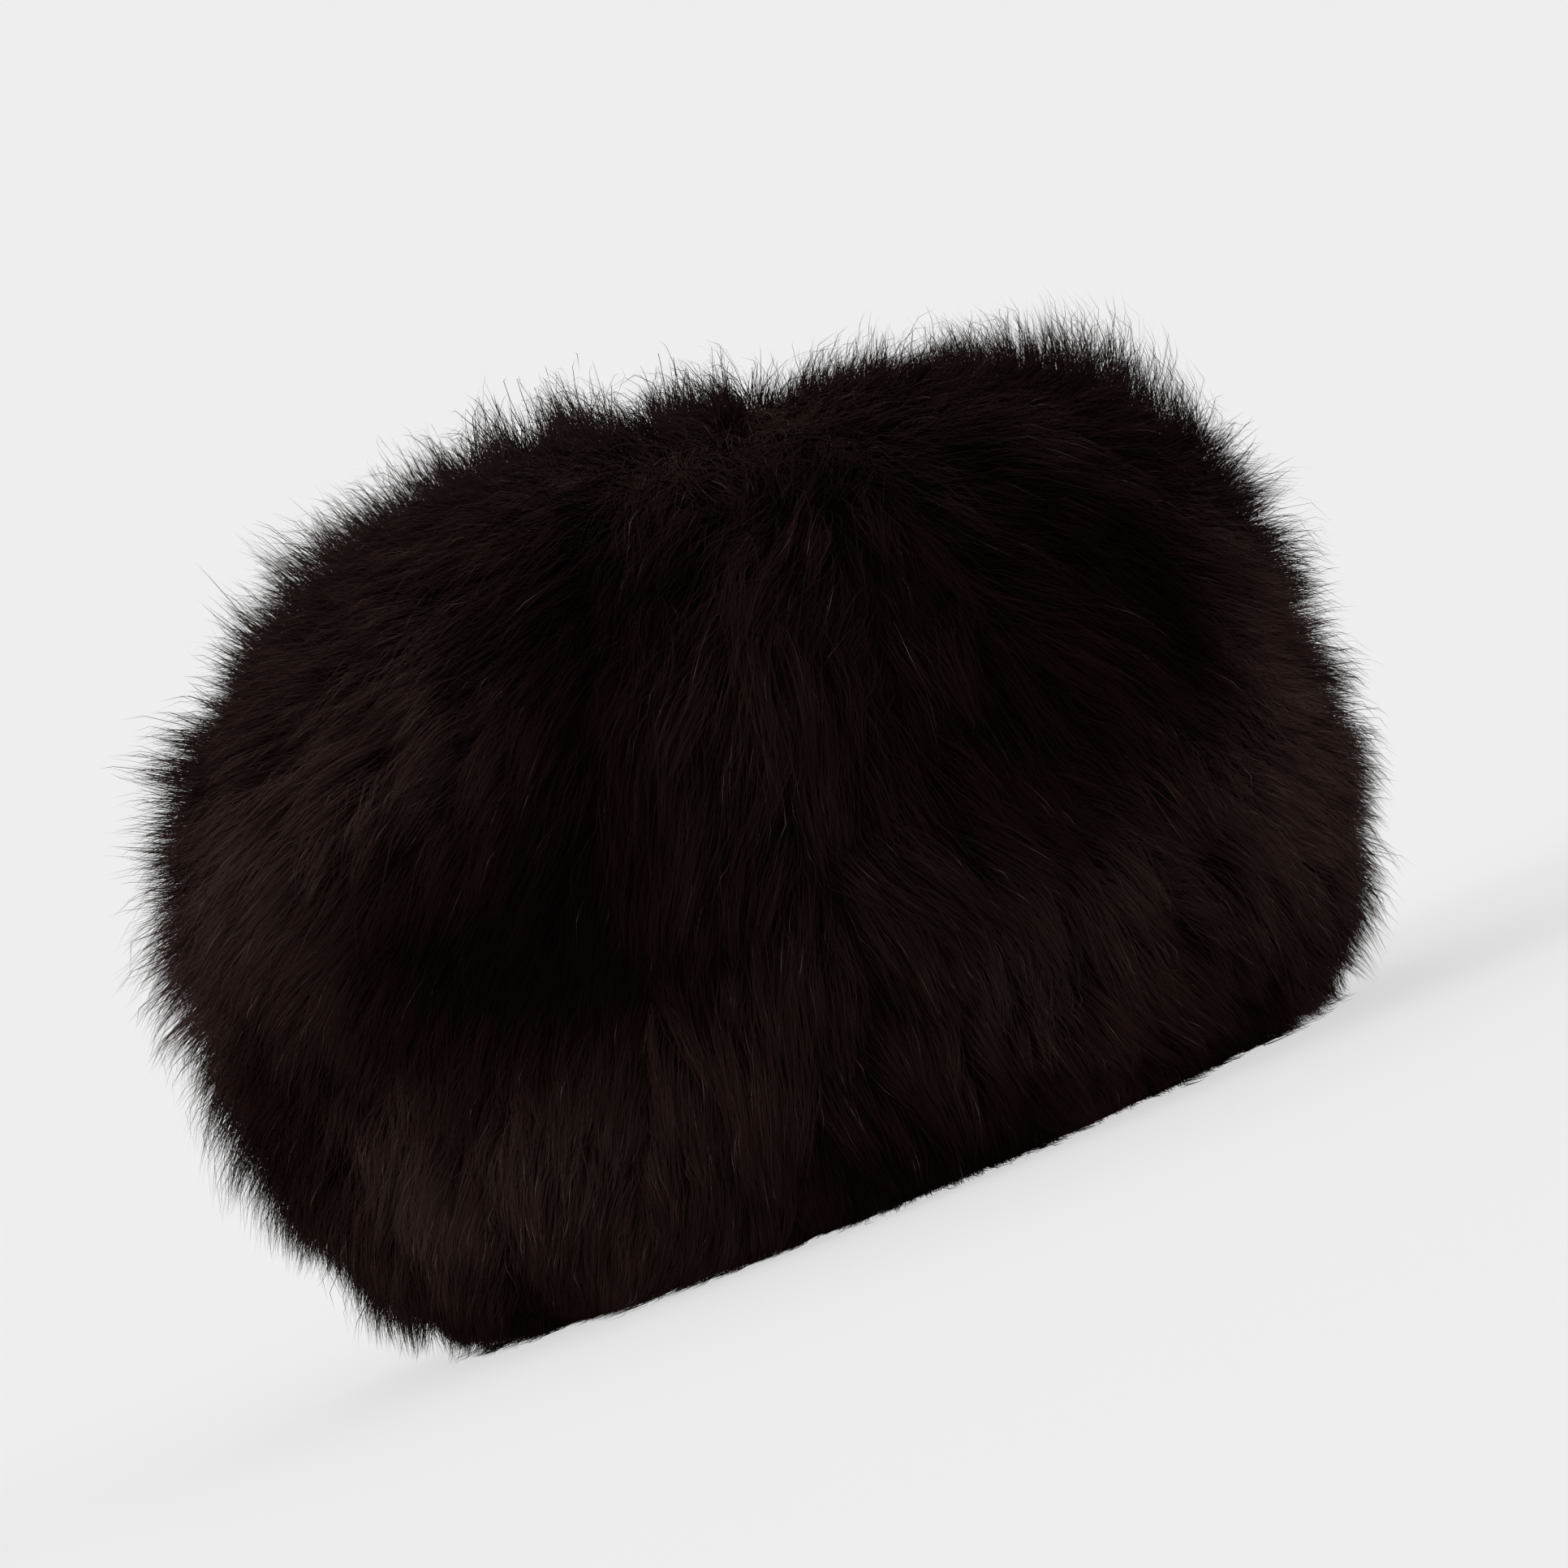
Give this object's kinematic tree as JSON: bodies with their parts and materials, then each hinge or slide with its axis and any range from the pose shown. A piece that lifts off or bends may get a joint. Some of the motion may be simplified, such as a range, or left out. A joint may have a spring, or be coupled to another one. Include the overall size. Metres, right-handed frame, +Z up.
{
  "type": "deep-fur hat",
  "caption": "Round deep-fur hat: a puffed fur crown over a deep fur band that turns in round an open head hole.",
  "frame": {"origin": "on the floor under the middle of the hat's box, with the hat resting on its rim", "axes": "+Z up out of the crown, +X to the right side, -Y towards the side that the whorl of the crown leans to"},
  "size_m": [0.2908, 0.2844, 0.2007],
  "materials": {
    "pelt_leather": "soft dark brown suede, the flesh side of the pelt",
    "dark_fur": "dense, deep, very dark brown fur with glossy guard hairs"
  },
  "bodies": {
    "root": {"crown_pelt": "pelt_leather", "crown_fur": "dark_fur", "band_pelt": "pelt_leather", "band_fur": "dark_fur"}
  },
  "joints": []
}
